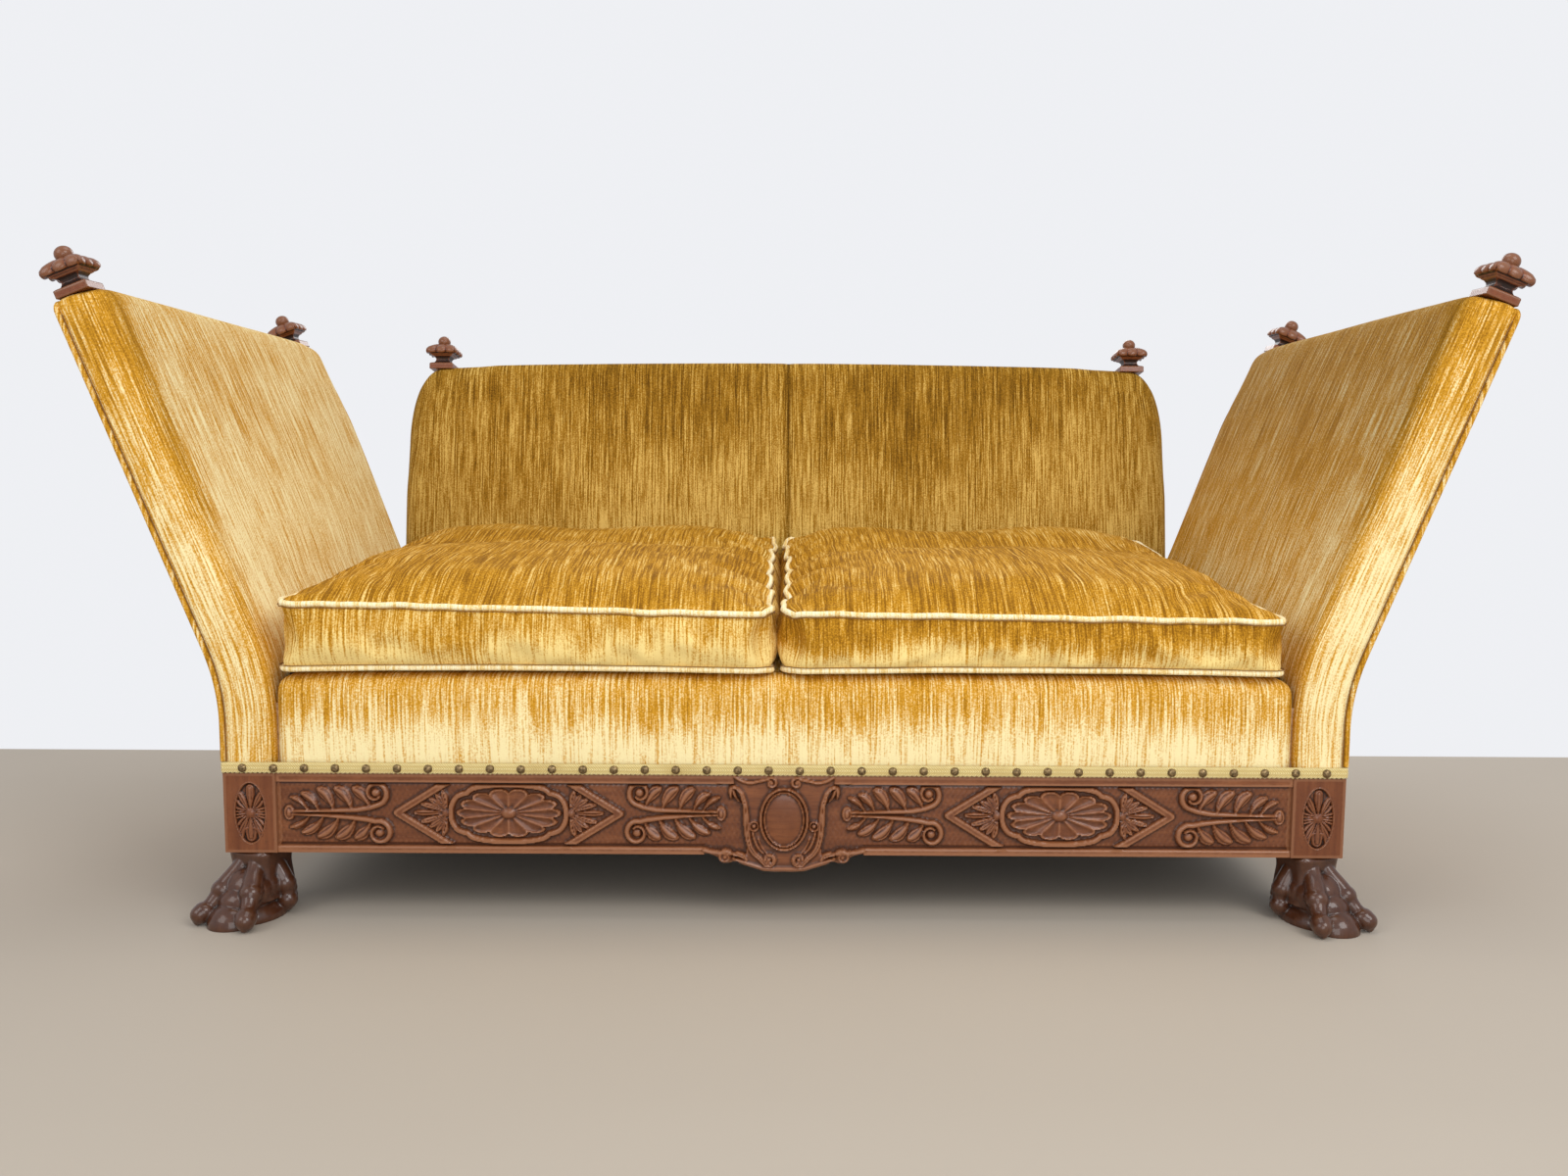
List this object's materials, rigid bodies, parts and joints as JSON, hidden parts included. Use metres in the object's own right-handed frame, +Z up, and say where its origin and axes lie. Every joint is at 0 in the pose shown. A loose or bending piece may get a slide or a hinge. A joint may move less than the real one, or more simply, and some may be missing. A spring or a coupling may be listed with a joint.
{
  "type": "sofa",
  "caption": "Small velvet sofa with high arms that lean out and let down, loose seat cushions, a carved wooden plinth rail, claw feet and carved corner finials.",
  "frame": {"origin": "on the floor under the middle of the whole sofa's box", "axes": "+X along the sofa to the right as seen from in front, +Y from the front to the back, +Z up"},
  "size_m": [1.887, 0.9731, 0.87],
  "materials": {
    "carved_walnut": "waxed, dark in the recesses",
    "finial_wood": "waxed, redder and lighter",
    "frame_beech": "bare sawn beech",
    "jute_webbing": "plain woven",
    "hessian": "plain woven",
    "hair_stuffing": "curled hair in scrim",
    "dust_cloth": "black cambric",
    "gimp": "woven braid",
    "nail_bronze": "antiqued, dull",
    "spring_steel": "dull wire",
    "hinge_iron": "blackened",
    "velvet_piping": "velvet over cord",
    "gold_velvet": "cut pile with vertical streaks"
  },
  "bodies": {
    "base": {"back_bottom_rail": "frame_beech", "back_finials": "finial_wood", "back_outside_panel": "gold_velvet", "back_pad": "gold_velvet", "back_piping": "velvet_piping", "back_posts": "frame_beech", "back_top_rail": "frame_beech", "back_webbing": "jute_webbing", "corner_braces": "frame_beech", "dust_cover": "dust_cloth", "foot_dowels": "frame_beech", "front_blocks": "carved_walnut", "front_border": "gold_velvet", "front_left_foot": "carved_walnut", "front_rail": "carved_walnut", "front_right_foot": "carved_walnut", "gimp_braid": "gimp", "gimp_nails": "nail_bronze", "hinge_pins": "hinge_iron", "hinge_plates": "hinge_iron", "left_lower_arm": "gold_velvet", "left_seat_beam": "frame_beech", "left_side_rail": "carved_walnut", "lower_arm_piping": "velvet_piping", "rear_blocks": "carved_walnut", "rear_left_foot": "carved_walnut", "rear_rail": "carved_walnut", "rear_right_foot": "carved_walnut", "right_lower_arm": "gold_velvet", "right_seat_beam": "frame_beech", "right_side_rail": "carved_walnut", "seat_deck": "gold_velvet", "seat_front_beam": "frame_beech", "seat_rear_beam": "frame_beech", "seat_springs": "spring_steel", "seat_stuffing": "hair_stuffing", "seat_webbing": "jute_webbing", "spring_canvas": "hessian"},
    "left_arm": {"left_arm_posts": "frame_beech", "left_arm_top_rail": "frame_beech", "left_arm_bottom_rail": "frame_beech", "left_arm_webbing": "jute_webbing", "left_arm_pad": "gold_velvet", "left_arm_outside_panel": "gold_velvet", "left_arm_piping": "velvet_piping", "left_arm_finials": "finial_wood", "left_arm_hinge_leaves": "hinge_iron"},
    "right_arm": {"right_arm_posts": "frame_beech", "right_arm_top_rail": "frame_beech", "right_arm_bottom_rail": "frame_beech", "right_arm_webbing": "jute_webbing", "right_arm_pad": "gold_velvet", "right_arm_outside_panel": "gold_velvet", "right_arm_piping": "velvet_piping", "right_arm_finials": "finial_wood", "right_arm_hinge_leaves": "hinge_iron"},
    "left_cushion": {"left_cushion": "gold_velvet", "left_cushion_piping": "velvet_piping"},
    "right_cushion": {"right_cushion": "gold_velvet", "right_cushion_piping": "velvet_piping"}
  },
  "joints": [
    {"name": "left_arm_hinge", "type": "hinge", "parent": "base", "child": "left_arm", "pos_m": [-0.698, 0, 0.3165], "axis": [0, 1, 0], "range_deg": [0, 21.5]},
    {"name": "right_arm_hinge", "type": "hinge", "parent": "base", "child": "right_arm", "pos_m": [0.698, 0, 0.3165], "axis": [0, -1, 0], "range_deg": [0, 21.5]},
    {"name": "left_cushion_lift", "type": "slide", "parent": "base", "child": "left_cushion", "axis": [0, 0, 1], "range_m": [0, 0.2]},
    {"name": "right_cushion_lift", "type": "slide", "parent": "base", "child": "right_cushion", "axis": [0, 0, 1], "range_m": [0, 0.2]}
  ]
}
